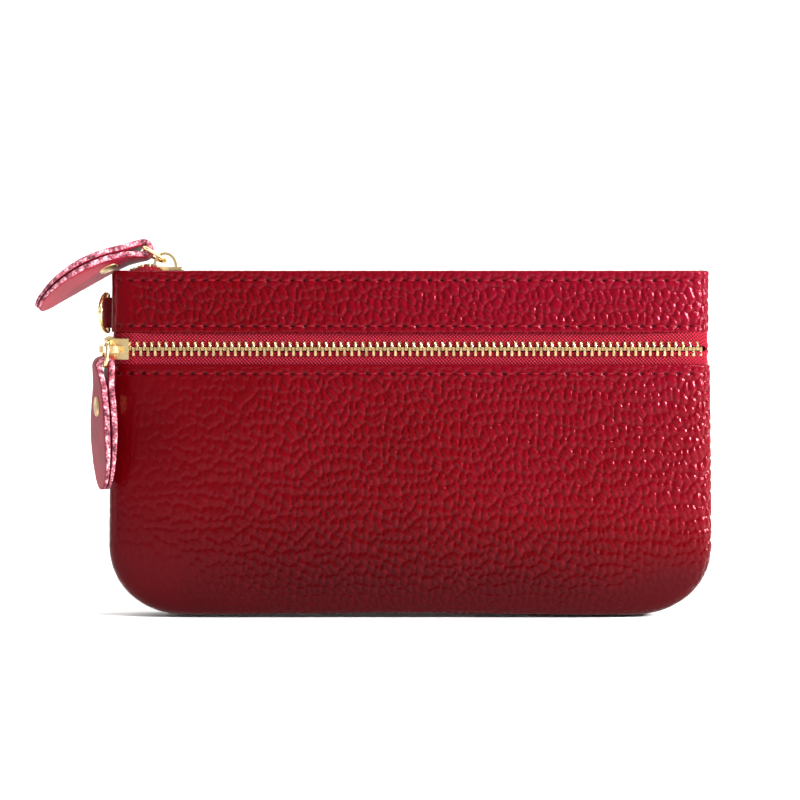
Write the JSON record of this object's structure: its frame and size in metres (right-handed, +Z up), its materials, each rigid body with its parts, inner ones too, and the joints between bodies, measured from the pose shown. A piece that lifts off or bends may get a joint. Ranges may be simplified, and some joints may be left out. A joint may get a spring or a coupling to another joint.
{
  "type": "zippered pouch",
  "caption": "Flat leather pouch with a zip along its mouth, a zipped front pocket, leather zip pulls on wire links and a small D-ring in the side seam.",
  "frame": {"origin": "on the flat base, below the middle of the mouth", "axes": "+Z up, front faces -Y, +X to the right of someone looking at the front"},
  "size_m": [0.2133, 0.0337, 0.119],
  "materials": {
    "pebbled_leather": "pebbled, satin",
    "tab_leather": "smooth, satin",
    "lining_cloth": "matt woven",
    "zip_tape": "woven, matt",
    "zip_teeth": "antique, satin",
    "gold_hardware": "polished"
  },
  "bodies": {
    "pouch": {"back_panel": "pebbled_leather", "front_upper_band": "pebbled_leather", "front_lower_panel": "pebbled_leather", "d_ring_loop": "pebbled_leather", "main_lining_back": "lining_cloth", "main_lining_front": "lining_cloth", "pocket_lining_front": "lining_cloth", "pocket_lining_back": "lining_cloth", "top_zip_tape_front": "zip_tape", "top_zip_tape_back": "zip_tape", "front_zip_tape_upper": "zip_tape", "front_zip_tape_lower": "zip_tape", "top_zip_teeth_front": "zip_teeth", "top_zip_teeth_back": "zip_teeth", "front_zip_teeth_upper": "zip_teeth", "front_zip_teeth_lower": "zip_teeth", "top_zip_stop_front": "gold_hardware", "top_zip_stop_back": "gold_hardware", "top_zip_end_stop": "gold_hardware"},
    "top_slider": {"top_slider": "gold_hardware"},
    "top_link": {"top_pull_link": "gold_hardware"},
    "top_tab": {"top_pull_tab": "tab_leather", "top_rivet_cap": "gold_hardware", "top_rivet_post": "gold_hardware"},
    "front_slider": {"front_slider": "gold_hardware"},
    "front_link": {"front_pull_link": "gold_hardware"},
    "front_tab": {"front_pull_tab": "tab_leather", "front_rivet_cap": "gold_hardware", "front_rivet_post": "gold_hardware"},
    "d_ring": {"d_ring": "gold_hardware"}
  },
  "joints": [
    {"name": "top_zip_travel", "type": "slide", "parent": "pouch", "child": "top_slider", "axis": [1, 0, 0], "range_m": [0, 0.162], "deforming": ["top_zip_tape_front", "top_zip_tape_back", "top_zip_teeth_front", "top_zip_teeth_back", "top_pull_tab"]},
    {"name": "top_link_swing", "type": "hinge", "parent": "top_slider", "child": "top_link", "pos_m": [-0.0774, 0, 0.1123], "axis": [0, 0.9613, -0.2756], "range_deg": [0, 90]},
    {"name": "top_tab_swing", "type": "hinge", "parent": "top_link", "child": "top_tab", "pos_m": [-0.0842, 0.001, 0.11578], "axis": [0, 0.9613, -0.2756], "range_deg": [0, 60]},
    {"name": "front_zip_travel", "type": "slide", "parent": "pouch", "child": "front_slider", "axis": [1, 0, 0], "range_m": [0, 0.177], "deforming": ["front_zip_tape_upper", "front_zip_tape_lower", "front_zip_teeth_upper", "front_zip_teeth_lower", "front_pull_tab"]},
    {"name": "front_link_swing", "type": "hinge", "parent": "front_slider", "child": "front_link", "pos_m": [-0.0943, -0.0127, 0.0848], "axis": [-1, 0, 0], "range_deg": [0, 75]},
    {"name": "front_tab_swing", "type": "hinge", "parent": "front_link", "child": "front_tab", "pos_m": [-0.09544, -0.01357, 0.07972], "axis": [-0.2756, 0.9613, 0], "range_deg": [0, 60]},
    {"name": "d_ring_swing", "type": "hinge", "parent": "pouch", "child": "d_ring", "pos_m": [-0.0957, 0.0015, 0.096], "axis": [0, 0, -1], "range_deg": [0, 160]}
  ]
}
